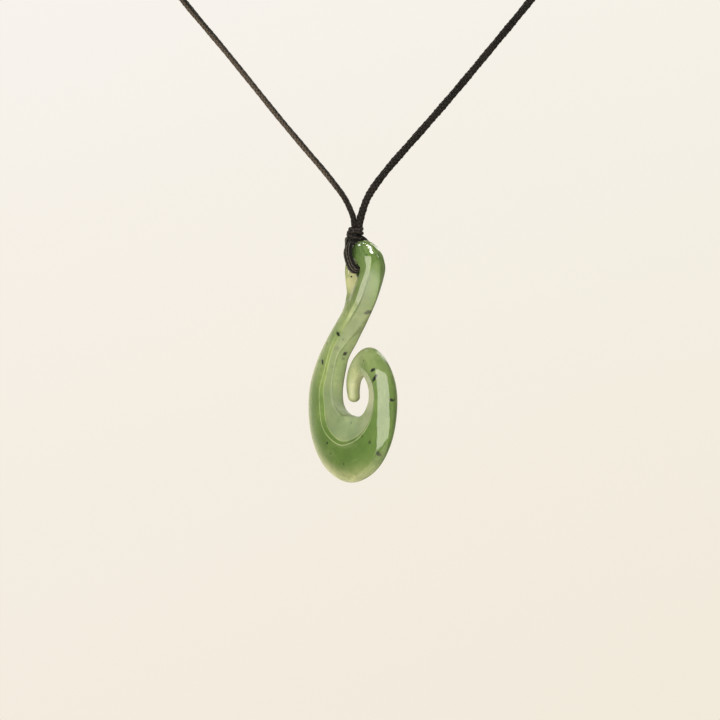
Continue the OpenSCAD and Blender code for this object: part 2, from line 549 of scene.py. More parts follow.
cord_black = cord_finish(
    "waxed_cord_black", 0.10, 0.25, rgb(0.003, 0.0025, 0.0021), rgb(0.010, 0.0080, 0.0064), flank_light=0.85
)
# the knot and the eye cord differ in the strength of the painted highlights on their crests
knot_black = cord_finish(
    "waxed_cord_knotted", 0.12, 0.8, rgb(0.002, 0.0017, 0.0015), rgb(0.006, 0.005, 0.0042), flank_light=0.1,
    packed=1.0, crest=rgb(0.036, 0.030, 0.027),
)
leg_black = cord_finish(
    "waxed_cord_at_eye", 0.12, 0.8, rgb(0.003, 0.0027, 0.0024), rgb(0.009, 0.0080, 0.0068), flank_light=0.1,
    packed=1.0, crest=rgb(0.125, 0.115, 0.096),
)


# ---------------------------------------------------------------- braided waxed cord: shape
def plait_height(s, turn, lumps):
    """How far a yarn stands out, 0 to 1, at s mm along and turn round."""
    one, two = PLAITS * turn + s / PLAIT_LENGTH, PLAITS * turn - s / PLAIT_LENGTH
    across, down = (one % 1, two % 1) if (floor(one) + floor(two)) % 2 else (two % 1, one % 1)
    return lumps * (sqrt(max(0.0, 1 - (2 * across - 1) ** 2)) * (0.55 + 0.45 * sin(pi * down)))


ROUNDED_END = 0.35  # mm of cord that a free end takes to close


def braid_skin(points, far, widths, sides, around, closed=False, lumps=0.10, ends=True):
    """A flat oval braid along the points.

    widths(s) gives its half width and half thickness, and sides[i] is the direction of its width.
    """
    last = len(points) - 1
    if closed:
        tangents = [(points[(i + 1) % last] - points[(i - 1) % last]).normalized() for i in range(last + 1)]
    else:
        tangents = [heading(points, i) for i in range(last + 1)]

    def place(i, j):
        if closed and i == last:
            i = 0
        a = 2 * pi * j / around
        s = far[i]
        t = tangents[i]
        wide = (sides[i] - t * sides[i].dot(t)).normalized()
        flat = t.cross(wide)
        half, thick = widths(s)
        grow = 1 - lumps + plait_height(s, j / around, lumps)
        if ends and not closed:
            rim = min(s, far[-1] - s) / ROUNDED_END
            if rim < 1:
                grow *= sqrt(max(0.02, 1 - (1 - rim) ** 2))
        return points[i] + (wide * (cos(a) * half) + flat * (sin(a) * thick)) * grow

    return wrapped_skin(len(points), around, place, lambda i, j: (far[i], j / around), closed)


def carried_sides(points, first):
    """The width direction carried along the path without twisting."""
    sides = [first]
    for i in range(1, len(points)):
        t = heading(points, i)
        sides.append((sides[-1] - t * sides[-1].dot(t)).normalized())
    return sides


# the neck cord is one length: up from the pendant's knot on each side, and the plain way round the neck, all in mm
# [right strand's x, left strand's x, y, z]
STRANDS = [
    [0.5, -0.45, -108.5, -88.3], [0.75, -0.55, -108.5, -87], [1.2, -0.93, -108.5, -85.2], [2.5, -2.62, -108.4, -81.6],
    [4.55, -5, -108.1, -78.3], [7.4, -7.95, -107.5, -74.6], [10.85, -11.35, -106.5, -70.6],
    [17.3, -17.5, -104.5, -63.2], [24.15, -23.95, -102, -55.1], [30.85, -30.5, -99, -46.9],
    [37.6, -37.35, -95.5, -38.6], [42.8, -42.6, -92, -32], [48, -47.9, -87, -25.5], [52.8, -52.7, -81, -19.5],
    [57, -57, -74, -14.5],
]
NAPE = [
    [60.3, -67, -10.9], [62.6, -58, -8], [63.8, -49.5, -6], [63.5, -41, -4.5], [61.6, -33, -3.4], [58, -25.5, -2.5],
    [53, -18.8, -1.8], [47, -13, -1.2], [40, -8.3, -0.7], [32, -4.7, -0.4], [24, -2.2, -0.2], [16, -0.7, 0], [8, 0, 0],
]


def mirrored(rows):
    """The same route on the other side."""
    return [[-x, y, z] for x, y, z in rows]


RIGHT = [[x, y, z] for x, _, y, z in STRANDS]
LEFT = [[x, y, z] for _, x, y, z in STRANDS]
CORD_STEP = 0.17  # mm from row to row of the cord's mesh
CORD_WIDTH = 0.0016  # m
neck_route = RIGHT + NAPE + [[0, 0, 0]] + mirrored(NAPE)[::-1] + LEFT[::-1]
neck_points, neck_far = even_points(neck_route, CORD_STEP)
neck_length = neck_far[-1]
strand_length = even_points(RIGHT, CORD_STEP)[1][-1]


def neck_sides():
    """The direction of the neck cord's width at each of its points.

    The right side shows its width, the left turns nearly to its edge by the knot, and the nape takes up the rest.
    """
    depth = Vector((0, 1, 0))
    carried = carried_sides(neck_points, heading(neck_points, 0).cross(depth).normalized())
    end = heading(neck_points, len(neck_points) - 1)
    wanted = end.cross(depth).normalized()
    off = atan2(end.dot(carried[-1].cross(wanted)), carried[-1].dot(wanted))
    sides = []
    for i, s in enumerate(neck_far):
        share = s / neck_length
        # in degrees: a slow wave all the way, and the left side turned by 50, and by 72 at the knot
        edgeways = mix(72, 50, between(0, 75, neck_length - s)) * between(0.7, 0.8, share)
        turn = off * between(0.3, 0.7, share) + radians(10 * sin(s / 11) - edgeways)
        sides.append(Matrix.Rotation(turn, 3, heading(neck_points, i)) @ carried[i])
    return sides


neck_side = neck_sides()


def cord_size(s):
    """Half width and half thickness, mm."""
    wide = 0.88 + 0.035 * sin(s * 3.3) + 0.03 * sin(s / 1.3) + 0.02 * sin(s * 7.1 + 1)
    thick = 0.56 + 0.03 * sin(s * 3.3 + 1.6) + 0.02 * sin(s / 1.7) + 0.07 * between(0.7, 0.8, s / neck_length)
    return wide, thick


def neck_piece(name, low, high, around, node):
    """The stretch of the neck cord from low to high, mm along it, and the points that it follows, in metres."""
    picked = [i for i, s in enumerate(neck_far) if low <= s <= high]
    points, sides = [neck_points[i] for i in picked], [neck_side[i] for i in picked]
    start = neck_far[picked[0]]
    far = [neck_far[i] - start for i in picked]
    # its size goes on from piece to piece
    skin = braid_skin(points, far, lambda s: cord_size(s + start), sides, around, ends=False)
    piece = finished_piece(name, skin, cord_black, "cord", "waxed_cord", node)
    return piece, [p * MM for p in points]


right_strand, right_path = neck_piece("right_strand", 0, strand_length, 26, "right_cord")
left_strand, left_path = neck_piece("left_strand", neck_length - strand_length, neck_length, 26, "left_cord")
for strand, path in ((right_strand, right_path), (left_strand, left_path[::-1])):
    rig.cord(
        strand, exit=path[0], length=round(strand_length) * MM, diameter=CORD_WIDTH, far_end="object",
        stiffness="limp", lay="hanging", path=path,
    )
neck_piece("nape_stretch", strand_length, neck_length - strand_length, 22, "nape_cord")


# ---------------------------------------------------------------- knots
TURN_POINTS = 110


def turn_of_cord(centre, across, deep, tilt_y, tilt_x, half, thick, start):
    """One closed turn of braid round a centre.

    across and deep are its half sizes, the tilts lower its right and its front side, in degrees, and half and thick
    are the cord's half width and half thickness.
    """
    points = []
    for i in range(TURN_POINTS + 1):
        a = 2 * pi * i / TURN_POINTS + start
        x, y = across * cos(a), deep * sin(a)
        points.append(centre + Vector((x, y, tan(radians(tilt_x)) * y - tan(radians(tilt_y)) * x)))
    far = run_lengths(points)
    # a whole number of plaits, so that the pattern closes
    pattern = round(far[-1] / (2 * PLAIT_LENGTH)) * 2 * PLAIT_LENGTH
    far = [s * pattern / far[-1] for s in far]
    sides = [Vector((0, 0, 1))] * len(points)
    return braid_skin(points, far, lambda s: (half, thick), sides, 20, closed=True, lumps=0.08)


KNOT = Vector((-0.5, -108.45, -90.2))
# [right, back and up from the knot, and then what turn_of_cord takes after the centre]
KNOT_TURNS = [
    [0.40, 0.0, 1.62, 1.36, 1.20, -3, 8, 0.50, 0.42, 0.0],
    [0.28, 0.0, 0.78, 1.45, 1.30, 4, -6, 0.46, 0.50, 1.0],
    [0.05, 0.0, -0.15, 1.28, 1.40, 22, 6, 0.58, 0.55, 2.0],
    [-0.30, 0.0, -0.75, 1.30, 1.25, -14, -10, 0.55, 0.55, 0.4],
    [-0.85, -0.3, -1.50, 0.80, 0.95, 10, 4, 0.48, 0.46, 0.9],
    [-0.95, -0.1, -0.50, 0.68, 1.05, -16, 4, 0.55, 0.48, 0.5],
]


def make_pendant_knot():
    """Six turns of cord, packed round a plain core."""
    bm = bmesh.new()
    bmesh.ops.create_icosphere(bm, subdivisions=4, radius=1)
    bmesh.ops.scale(bm, vec=(1.35, 1.3, 1.75), verts=bm.verts)
    bmesh.ops.translate(bm, vec=KNOT + Vector((0.1, 0, 0.1)), verts=bm.verts)
    for right, back, up, *turn in KNOT_TURNS:
        join_into(bm, turn_of_cord(KNOT + Vector((right, back, up)), *turn))
    finished_piece("tied_knot", bm, knot_black, "cord", "waxed_cord", "pendant_knot")


make_pendant_knot()

NAPE_TURNS = 5
NAPE_KNOT_LENGTH = 6.8  # mm, from the middle of the first turn to the middle of the last
NAPE_KNOT_R = 1.45  # mm


def make_nape_knot():
    """Close turns round the cord, with both tails tucked under."""
    rows = []
    steps = 12 * NAPE_TURNS
    for i in range(steps + 1):
        a = 2 * pi * NAPE_TURNS * i / steps
        rows.append([NAPE_KNOT_LENGTH * (i / steps - 0.5), NAPE_KNOT_R * cos(a), NAPE_KNOT_R * sin(a)])
    points, far = even_points(rows, 0.15)
    sides = [Vector((1, 0, 0))] * len(points)
    skin = braid_skin(points, far, lambda s: (0.72, 0.62), sides, 20, lumps=0.2)
    finished_piece("tied_nape_knot", skin, knot_black, "cord", "waxed_cord", "nape_knot")


make_nape_knot()

EYE = Vector((2.2072, -111.9875, -98.0))
HOOK_TURN = 50  # degrees, of the stone's face away from the front
LEG_TILT = 27  # degrees, of the doubled cord's leg from upright, seen from the stone's face
# the doubled cord through the eye: how far out from the eye along the leg, and how far from the stone's middle plane
LEG = [
    [0.35, 0], [0.05, 2.2], [-0.2, 3.0], [-0.1, 3.7], [0.45, 4.2], [1.4, 4.4], [3.0, 4.35], [4.2, 4.15], [5.1, 3.75],
    [5.9, 3.2], [6.55, 2.5], [7, 1.75],
]
LEG_LINES = (-0.68, 0.13, 0.94)  # the places of the leg's lines of braid, side by side


def stone_to_frame(across, deep, up):
    """From the stone's own plane, in mm from the eye, to the shared frame, in mm."""
    a = radians(HOOK_TURN)
    return EYE + Vector((across * cos(a) + deep * sin(a), -across * sin(a) + deep * cos(a), up))


def make_eye_loop():
    """Three lines of braid side by side: down from the knot in front, through the eye and up behind the head."""
    bm = bmesh.new()
    lean = radians(LEG_TILT)
    way = [[out, mid] for out, mid in LEG[-2::-1]] + [[out, -mid] for out, mid in LEG[1:-1]]
    side = stone_to_frame(cos(lean), 0, sin(lean)) - stone_to_frame(0, 0, 0)
    for offset in LEG_LINES:
        # from inside the knot
        rows = [
            Vector((-0.9 + offset * 0.3, -109.0, -90.4)),
            Vector((-1.35 + offset * 0.95, -110.3, -91.3)),
        ]
        for out, mid in way[1:]:
            # the lines draw together towards the knot, and the last one gives way to the stone in front
            shift = offset * (1 - 0.12 * between(4.5, 7, out)) + 0.3 * (mid > 0)
            shift += 0.35 * (offset > 0.5) * (mid > 0) * between(3.5, 5.0, out)
            across = -out * sin(lean) + shift * cos(lean)
            up = out * cos(lean) + shift * sin(lean)
            rows.append(stone_to_frame(across, -mid, up))
        # and back into it
        rows += [
            Vector((1.6 + offset * 0.1, -107.6, -91.0 + offset * 0.3)),
            Vector((0.4, -107.9, -90.4 + offset * 0.3)),
        ]
        points, far = even_points(rows, 0.13)
        sides = carried_sides(points, side.normalized())
        join_into(bm, braid_skin(points, far, lambda s: (0.45, 0.5), sides, 18, lumps=0.08))
    finished_piece("doubled_eye_cord", bm, leg_black, "cord", "waxed_cord", "eye_loop")


make_eye_loop()


# ---------------------------------------------------------------- the greenstone hook: shape
# [across, up from the eye, width, thickness, ridge 0-1, fold shift inward, crease 0-1, facet mm]
SPINE = [
    [-0.8, 6.8, 9.8, 6.4, 0.0, 0.56, 0.0, 1.1],
    [-0.6, 3.6, 11.4, 6.4, 0.0, 0.67, 0.8, 0.9],
    [-0.2, 0.4, 11.8, 6.4, 0.0, 0.59, 1.0, 0.9],
    [-0.3, -3.0, 11.2, 6.3, 0.0, 0.34, 1.0, 1.05],
    [-1.2, -6.6, 9.0, 6.1, 0.0, 0.20, 1.0, 0.95],
    [-3.4, -10.2, 7.2, 5.9, 0.25, 0.12, 1.0, 0.65],
    [-6.7, -13.6, 6.6, 5.8, 0.6, 0.08, 1.0, 0.85],
    [-10.0, -17.2, 6.8, 5.8, 0.95, 0.24, 1.0, 0.8],
    [-12.5, -21.6, 8.4, 5.9, 1.0, 0.36, 1.0, 0.8],
    [-14.2, -26.6, 9.8, 6.0, 1.0, 0.27, 1.0, 1.1],
    [-14.3, -31.2, 11.0, 6.0, 1.0, 0.26, 1.0, 1.4],
    [-12.7, -35.5, 13.0, 6.1, 1.0, 0.12, 1.0, 1.35],
    [-9.72, -38.88, 14.7, 6.2, 1.0, 0.14, 1.0, 1.1],
    [-5.2, -40.5, 15.2, 6.2, 1.0, 0.13, 1.0, 0.95],
    [-0.1, -39.05, 13.75, 6.2, 1.0, 0.09, 1.0, 0.7],
    [3.7, -35.6, 10.6, 6.1, 1.0, 0.0, 1.0, 0.45],
    [5.6, -30.8, 7.8, 6.0, 1.0, -0.15, 1.0, 0.3],
    [5.6, -26.4, 6.9, 5.8, 1.0, -0.14, 1.0, 0.3],
    [4.1, -22.7, 6.4, 5.5, 1.0, 0.15, 1.0, 0.3],
    [1.2, -20.4, 6.1, 5.0, 1.0, 0.38, 1.0, 0.3],
    [-1.8, -21.3, 4.7, 4.3, 0.8, 0.28, 0.7, 0.3],
    [-4.0, -23.9, 3.5, 3.6, 0.45, 0.15, 0.35, 0.25],
    [-4.5, -26.8, 2.7, 3.2, 0.2, 0.05, 0.15, 0.2],
    [-4.0, -29.8, 1.9, 2.8, 0.0, 0.0, 0.0, 0.2],
]
HEAD_R, HEAD_EDGE, TIP_R = 7.5, 5.0, 1.1
OUTER, FACET = 18, 4  # points on half a section: outside the fold, on its narrow facet
INNER_STEPS = [0, 0.02, 0.06, 0.12, 0.2, 0.3, 0.4, 0.5, 0.6, 0.7, 0.79, 0.86, 0.91, 0.94, 0.96, 0.975, 0.987, 0.996]
INNER = len(INNER_STEPS)  # and inside it
HALF = OUTER + FACET + INNER
AROUND = 2 * HALF


def round_end(s, r):
    """How much of its full size a rounded end has at s from its tip: 1 from r on."""
    return 1.0 if s >= r else sqrt(max(0.0, 1 - (1 - s / r) ** 2))


def dome(a):
    """A soft dome over -1 to 1."""
    return max(0.0, 1 - abs(a) ** 2.15) ** 0.47


def sharper_dome(a):
    """A dome that falls more steeply at its sides."""
    return sqrt(max(0.0, 1 - abs(a) ** 2.6))


def section_height(a, fold, inner, reach, ridge, crease, drop, slope, steep, chamfer):
    """Height of the stone's face over its middle plane, 0 to 1.

    a runs from 1 on the outer edge, over the fold and the facet's inner side, to -reach on the inner edge.
    """
    crown = mix(dome(a), sharper_dome(a), crease)
    top = mix(mix(dome(fold), sharper_dome(fold), crease), 1.0, ridge)
    foot = mix(mix(dome(inner), 0.95 * sqrt(1 - inner * inner), crease), top - drop, max(ridge, steep))
    if a >= fold:
        x = (a - fold) / (1 - fold)
        carved = sqrt(max(0.0, 1 - x)) * (1 + 0.35 * x)
        carved = mix(carved, max(0.0, 1 - x**1.9) ** 0.72, chamfer)
        return mix(crown, carved, ridge)
    if a >= inner:
        flat = mix(top, foot, (fold - a) / (fold - inner))
        return mix(mix(dome(a), flat, ridge), flat, crease)
    y = min(1.0, (inner - a) / (inner + reach))
    flank = mix(dome(a), foot * (1 - y) ** 0.8, crease)
    carved = (foot - slope * y) * (1 - y**34) ** 0.5
    return mix(flank, carved, ridge)


def section_places(fold, inner, reach):
    """Where the points of half a section stand, from the outer edge to the inner, with points on both creases."""
    places = [fold + (1 - fold) * (0.985 * cos(pi / 2 * i / OUTER) ** 1.15 + 0.015) for i in range(OUTER)]
    places += [mix(fold, inner, x) for x in (0.0, 0.12, 0.5, 0.88)]
    places += [inner - (inner + reach) * x for x in INNER_STEPS]
    return places


def ring_marks():
    """Where along the spine the sections stand, in rows of SPINE: closest at the ends."""
    last = len(SPINE) - 1
    marks = [0.004, 0.02, 0.045, 0.08, 0.12, 0.17, 0.23, 0.3, 0.37, 0.44]
    t = 0.5
    while t < last - 0.6:
        marks.append(t)
        t += 0.085 if t < 5 else 0.11
    return marks + [last - x for x in (0.55, 0.48, 0.41, 0.34, 0.28, 0.22, 0.17, 0.12, 0.08, 0.045, 0.02, 0.004)]


def hook_section(t):
    """One section of the stone: its row of SPINE, its direction outward, its half sizes and its ring of points.

    Each point is its place across, its height and its side: 1 front, -1 back, 0 on the inner edge.
    """
    row = on_curve(SPINE, t)
    last = len(SPINE) - 1
    step = 0.4 + 0.6 * between(9, 10.5, t) * between(17, 15.5, t)  # evens out the turn of the sections round the bend
    ahead, behind = on_curve(SPINE, min(last, t + step)), on_curve(SPINE, max(0.0, t - step))
    run = Vector((ahead[0] - behind[0], ahead[1] - behind[1])).normalized()
    normal = (run[1], -run[0])
    from_head = (Vector(row[:2]) - Vector(SPINE[0][:2])).length
    from_tip = (Vector(row[:2]) - Vector(SPINE[-1][:2])).length
    half_width = row[2] / 2 * round_end(from_head, HEAD_R) * round_end(from_tip, TIP_R)
    half_thick = row[3] / 2 * round_end(from_head, HEAD_EDGE) * round_end(from_tip, TIP_R)
    ridge, fold, crease, facet = row[4], -row[5], row[6], max(0.15, row[7])
    inner = fold - facet / (row[2] / 2)
    reach = 1 - 0.12 * crease * (1 - between(4, 6, t))
    slope = mix(0.24, 0.42, between(12.8, 14.4, t) * between(20, 19, t)) * (inner + reach) * row[2] / row[3]
    # the back of the shank's inner edge is thinner
    thinned = mix(slope, 0.9 - 2.0 / row[3], between(6, 7.6, t) * between(12, 10.5, t))
    # the front flank of the right limb is flatter
    chamfer = between(14.3, 15.6, t) * between(19.2, 18.0, t)
    steep = between(1.5, 2.5, t) * between(6.0, 5.2, t)
    drop = mix(0.07, 0.62 / (row[3] / 2), steep) * facet
    places = section_places(fold, inner, reach)
    front, back = (
        [(a, section_height(a, fold, inner, reach, ridge, crease, drop, fall, steep, flat)) for a in places]
        for fall, flat in ((slope, chamfer), (thinned, 0.0))
    )
    ring = [(1.0, 0.0, 1)] + [(a, q, 1) for a, q in front[1:]]
    ring += [(-reach, 0.0, 0)] + [(a, q, -1) for a, q in back[:0:-1]]
    return row, normal, half_width, half_thick, ring


RING_MARKS = ring_marks()
sections = [hook_section(t) for t in RING_MARKS]


def lower_of(a, b, soft):
    """The smaller of two, with a rounded corner."""
    t = max(soft - abs(a - b), 0) / soft
    return min(a, b) - t * t * soft / 4


SCOOP_AT = (-2.4, -0.4)  # mm across and up from the eye
SCOOP_WAY = (-0.38, -0.925)  # the hollow runs down this way
SCOOP_R = 4.0


def scoop_height(across, up):
    """Half the stone's thickness that the hollow beside the eye leaves, which runs out down the outer edge."""
    x, z = across - SCOOP_AT[0], up - SCOOP_AT[1]
    down = SCOOP_WAY[0] * x + SCOOP_WAY[1] * z
    away = sqrt(x * x + z * z) if down < 0 else abs(SCOOP_WAY[0] * z - SCOOP_WAY[1] * x)
    if away >= SCOOP_R:
        return 9.0
    floor_at = 1.15 + 0.12 * max(0.0, down) + 0.22 * max(0.0, down - 5.0) ** 2
    return floor_at + SCOOP_R - sqrt(SCOOP_R * SCOOP_R - away * away)


def stone_point(i, j):
    """Point j of section i in the stone's own plane: across, deep, up."""
    row, normal, half_width, half_thick, ring = sections[i]
    a, q, side = ring[j]
    across, up = row[0] + normal[0] * half_width * a, row[1] + normal[1] * half_width * a
    height = half_thick * q
    if side and up > -10:
        height = lower_of(height, scoop_height(across, up), 0.16)
    return Vector((across, -height * side, up))


EYE_R = 1.6  # mm
EYE_SHIFT = -0.4  # mm across, towards the outer edge
# [radius, mm from the stone's middle plane]: the drill widens at the face, which eases the rim
DRILL = [
    (EYE_R, 0.0), (EYE_R, 0.7), (EYE_R, 1.4), (EYE_R, 2.1), (EYE_R, 2.6), (1.63, 2.8), (1.7, 2.98), (1.85, 3.12),
    (2.1, 3.22), (2.6, 3.3),
]


def drilled(skin):
    """The stone with the hole of its eye."""
    line = [(r, -d, 0) for r, d in DRILL[:0:-1]] + [(r, d, 0) for r, d in DRILL]
    drill = spun([(0.0, line[0][1], 0)] + line + [(0.0, line[-1][1], 0)], (0, 1, 0), 72)
    bmesh.ops.translate(drill, vec=(EYE_SHIFT, 0, 0), verts=drill.verts)
    blank, cutter = object_from("hook_blank", skin), object_from("eye_drill", drill)
    cut = blank.modifiers.new("eye", "BOOLEAN")
    cut.operation, cut.object, cut.solver = "DIFFERENCE", cutter, "EXACT"
    bpy.context.view_layer.update()
    shaped = bpy.data.meshes.new_from_object(blank.evaluated_get(bpy.context.evaluated_depsgraph_get()))
    bpy.data.objects.remove(blank)
    bpy.data.objects.remove(cutter)
    bm = bmesh.new()
    bm.from_mesh(shaped)
    bpy.data.meshes.remove(shaped)
    bmesh.ops.triangulate(bm, faces=[f for f in bm.faces if len(f.verts) > 4])
    return bm


def stone_facts():
    """What the finish needs to know about each point of the stone, and a tree that finds the points.

    Its section, its place across, mm outward from the fold, and the width of the facet inside the fold.
    """
    tree = KDTree(len(sections) * AROUND)
    facts = []
    for i, (row, _, half_width, _, ring) in enumerate(sections):
        for j, (a, _, _) in enumerate(ring):
            tree.insert(stone_point(i, j), len(facts))
            facts.append((i, a, (a + row[5]) * half_width, row[7] if row[6] > 0.2 else 0))
    tree.balance()
    return tree, facts


def make_hook(material):
    """The stone, with what its finish follows kept at each point."""
    rows = len(sections)
    bm = drilled(wrapped_skin(rows, AROUND, stone_point, lambda i, j: (i / rows, j / AROUND)))
    tree, facts = stone_facts()
    layers = [bm.verts.layers.float.new(name) for name in ("along", "across", "fold", "facet", "depth")]
    for v in bm.verts:
        found = tree.find_n(v.co, 3)
        weights = [1 / (far + 1e-4) for _, _, far in found]
        section, *rest = (
            sum(w * facts[k][m] for (_, k, _), w in zip(found, weights)) / sum(weights) for m in range(4)
        )
        along = RING_MARKS[int(section)] / (len(SPINE) - 1)
        for layer, value in zip(layers, (along, *rest, abs(v.co.y))):
            v[layer] = value
        v.co = stone_to_frame(*v.co)
    bmesh.ops.recalc_face_normals(bm, faces=bm.faces)
    piece = finished_piece("greenstone_hook", bm, material, "pendant", "green_stone", "hook")
    piece.data.set_sharp_from_angle(angle=radians(48))


# ---------------------------------------------------------------- the greenstone hook: finish
def speck_group():
    """One dark mineral speck inside the stone, at a place in the stone's own plane."""
    sizes = [
        ("Across", 0.0), ("Up", 0.0), ("Size", 0.3), ("Stretch", 1.0), ("Lean", 0.0), ("Softness", 0.3), ("Deep", -3.2),
        ("Reach", 3.85),
    ]
    n, given, out = new_group(
        "Mineral speck",
        [("Place", "Vector", None)] + [(name, "Float", start) for name, start in sizes],
        [("Mask", "Float")],
    )
    put = {name: given.outputs[name] for name, _ in sizes}
    place = n.add("SeparateXYZ", _0=given.outputs["Place"])
    x = n.maths("SUBTRACT", place.outputs[0], put["Across"])
    z = n.maths("SUBTRACT", place.outputs[2], put["Up"])
    c, s = n.maths("COSINE", put["Lean"]), n.maths("SINE", put["Lean"])
    long_way = n.maths("DIVIDE", n.plus(n.times(x, c), n.times(z, s)), put["Stretch"])
    short_way = n.maths("SUBTRACT", n.times(z, c), n.times(x, s))
    far = n.maths("SQRT", n.plus(n.times(long_way, long_way), n.times(short_way, short_way)))
    full = n.times(put["Size"], n.opposite(put["Softness"]))
    gone = n.times(put["Size"], n.plus(1.0, put["Softness"]))
    past = n.maths("SUBTRACT", n.distance(place.outputs[1], put["Deep"]), put["Reach"])
    n.feed(out.inputs["Mask"], n.times(n.step(far, full, gone, 1.0, 0.0), n.step(past, 0.25, -0.25)))
    return n.tree


# [across, up, size mm, stretch, lean in degrees, softness, strength], and for two on the inner wall also the
# depth that they are centred on and how far they reach from it
SPECKS = [
    [-7.0, -18.8, 0.38, 1.3, 56, 0.35, 1.0, -0.35, 0.52],
    [-7.9, -19.9, 0.28, 1.3, 40, 0.5, 0.7, -0.3, 0.4],
    [-6.5, -14.4, 0.40, 1.6, -50, 0.25, 0.95],
    [-6.2, -14.0, 0.2, 1.3, 0, 0.3, 0.6],
    [-12.2, -20.7, 0.42, 1.5, -65, 0.25, 1.0],
    [1.9, -20.4, 0.16, 1.0, 0, 0.3, 0.9],
    [5.2, -22.5, 0.40, 1.5, 30, 0.2, 1.0],
    [6.1, -24.3, 0.34, 2.9, 66, 0.2, 1.0],
    [9.3, -29.2, 0.12, 2.8, 90, 0.3, 1.0],
    [-10.2, -39.1, 0.28, 1.6, 30, 0.4, 0.8],
    [-9.2, -41.5, 0.22, 1.2, 0, 0.5, 0.65],
    [-4.8, -43.7, 0.2, 1.3, 50, 0.5, 0.8],
    [-3.4, -34.5, 0.2, 1.0, 0, 0.5, 0.75],
    [4.4, -38.7, 0.34, 1.4, 60, 0.6, 0.75],
    [-18.0, -33.0, 0.2, 1.0, 0, 0.5, 0.6],
    [4.8, -18.0, 0.26, 1.4, -20, 0.6, 0.6],
    [9.2, -24.8, 0.26, 1.4, 0, 0.6, 0.5],
    [1.2, -9.5, 0.3, 2.7, 28, 0.3, 0.8],
    [2.9, 3.4, 0.22, 1.2, 0, 0.6, 0.45],
    [6.0, 2.1, 0.2, 1.4, 0, 0.6, 0.5],
    [-3.5, -1.4, 0.22, 1.2, 0, 0.3, 0.95],
    [-7.4, -17.6, 0.5, 1.4, 0, 0.8, 0.3],
    [-11.0, -16.5, 0.4, 1.3, 0, 0.8, 0.3],
    [-5.6, -15.6, 0.22, 1.3, 30, 0.6, 0.45],
    [2.2, -37.4, 0.26, 1.3, 60, 0.6, 0.6],
    [5.8, -41.3, 0.44, 1.25, 90, 0.35, 0.8],
    [-1.0, -14.0, 0.22, 1.5, 30, 0.7, 0.4],
]


# tones along the hook, from 0 at the head to 1 at the point: on the outer face, on the bevel inside the fold, and on
# the wall of the opening
FACE_TONES = [
    (0.00, (0.060, 0.110, 0.030)), (0.07, (0.064, 0.106, 0.031)), (0.12, (0.076, 0.116, 0.035)),
    (0.18, (0.118, 0.156, 0.062)), (0.25, (0.164, 0.215, 0.088)), (0.31, (0.124, 0.182, 0.056)),
    (0.37, (0.122, 0.180, 0.053)), (0.45, (0.084, 0.140, 0.034)), (0.54, (0.056, 0.104, 0.020)),
    (0.62, (0.052, 0.100, 0.020)), (0.72, (0.084, 0.136, 0.037)), (0.80, (0.118, 0.168, 0.058)),
    (0.87, (0.205, 0.245, 0.118)), (0.94, (0.215, 0.240, 0.118)), (1.00, (0.200, 0.220, 0.106)),
]
BEVEL_TONES = [
    (0.20, (0.100, 0.134, 0.055)), (0.27, (0.118, 0.158, 0.068)), (0.34, (0.108, 0.150, 0.064)),
    (0.42, (0.100, 0.142, 0.062)), (0.47, (0.084, 0.121, 0.052)), (0.54, (0.130, 0.178, 0.084)),
    (0.62, (0.152, 0.206, 0.102)), (0.665, (0.192, 0.238, 0.130)), (0.71, (0.286, 0.318, 0.202)),
    (0.80, (0.275, 0.312, 0.192)),
]
WALL_TONES = [(0.33, (0.180, 0.248, 0.106)), (0.42, (0.162, 0.206, 0.108))]
# painted shade for a groove, and also the darker mottle in the stone
GROOVE_SHADE_AND_MOTTLE = rgb(0.040, 0.075, 0.020)
FOLD_LIGHT = rgb(0.270, 0.315, 0.160)
# a painted highlight on the narrow facet
FACET_HIGHLIGHT = rgb(0.250, 0.300, 0.165)
CORNER_DARK = rgb(0.060, 0.085, 0.034)
# painted shade on the wall of the eye's hole
BORE_SHADE = rgb(0.055, 0.095, 0.030)
# a painted reflection along the foot's outer edge
FOOT_OLIVE_REFLECTION = rgb(0.125, 0.175, 0.055)
THIN_PALE = rgb(0.300, 0.315, 0.165)
HEAD_SIDE_GREEN = rgb(0.078, 0.135, 0.030)
STREAK_PALE = rgb(0.190, 0.240, 0.110)
SPECK_BLACK = rgb(0.006, 0.008, 0.005)


def carved_tones(n, along, across, fold, crest, inside):
    """The face, the greyer, lighter bevel inside the fold, and painted shade and highlights along the lines of the
    carving.
    """
    bevel = n.blend(
        n.times(n.step(across, -0.968, -0.988), n.step(along, 0.20, 0.26)),
        n.ramp(along, BEVEL_TONES), n.ramp(along, WALL_TONES),
    )
    # a darker tone where the rounded corner of the wall picks up the soft box
    corner = n.times(n.near(across, -0.960, 0.030, 0.004), n.window(along, 0.27, 0.32, 0.50, 0.56))
    bevel = n.blend(n.times(corner, 0.75), bevel, CORNER_DARK)
    colour = n.blend(n.times(inside, 0.92), n.ramp(along, FACE_TONES), bevel)
    # painted shade along a fine groove beside the facet of the head, and a painted highlight where the fold itself
    # catches light
    groove_shade = n.times(n.near(crest, -0.14, 0.24, 0.06), n.window(along, 0.06, 0.10, 0.20, 0.26))
    colour = n.blend(n.times(groove_shade, 0.75), colour, GROOVE_SHADE_AND_MOTTLE)
    line = n.maths("MAXIMUM", n.near(fold, 0.0, 0.20, 0.04), n.near(crest, 0.0, 0.16, 0.03))
    line = n.times(line, n.window(along, 0.22, 0.32, 0.66, 0.72))
    colour = n.blend(n.times(line, 0.62), colour, FOLD_LIGHT)
    # a painted highlight: the narrow facet stays pale a little further down the neck
    facet_highlight = n.times(n.step(fold, 0.06, -0.10), n.step(crest, -0.06, 0.10), n.window(along, 0.165, 0.190, 0.210, 0.245))
    return n.blend(n.times(facet_highlight, 0.6), colour, FACET_HIGHLIGHT)


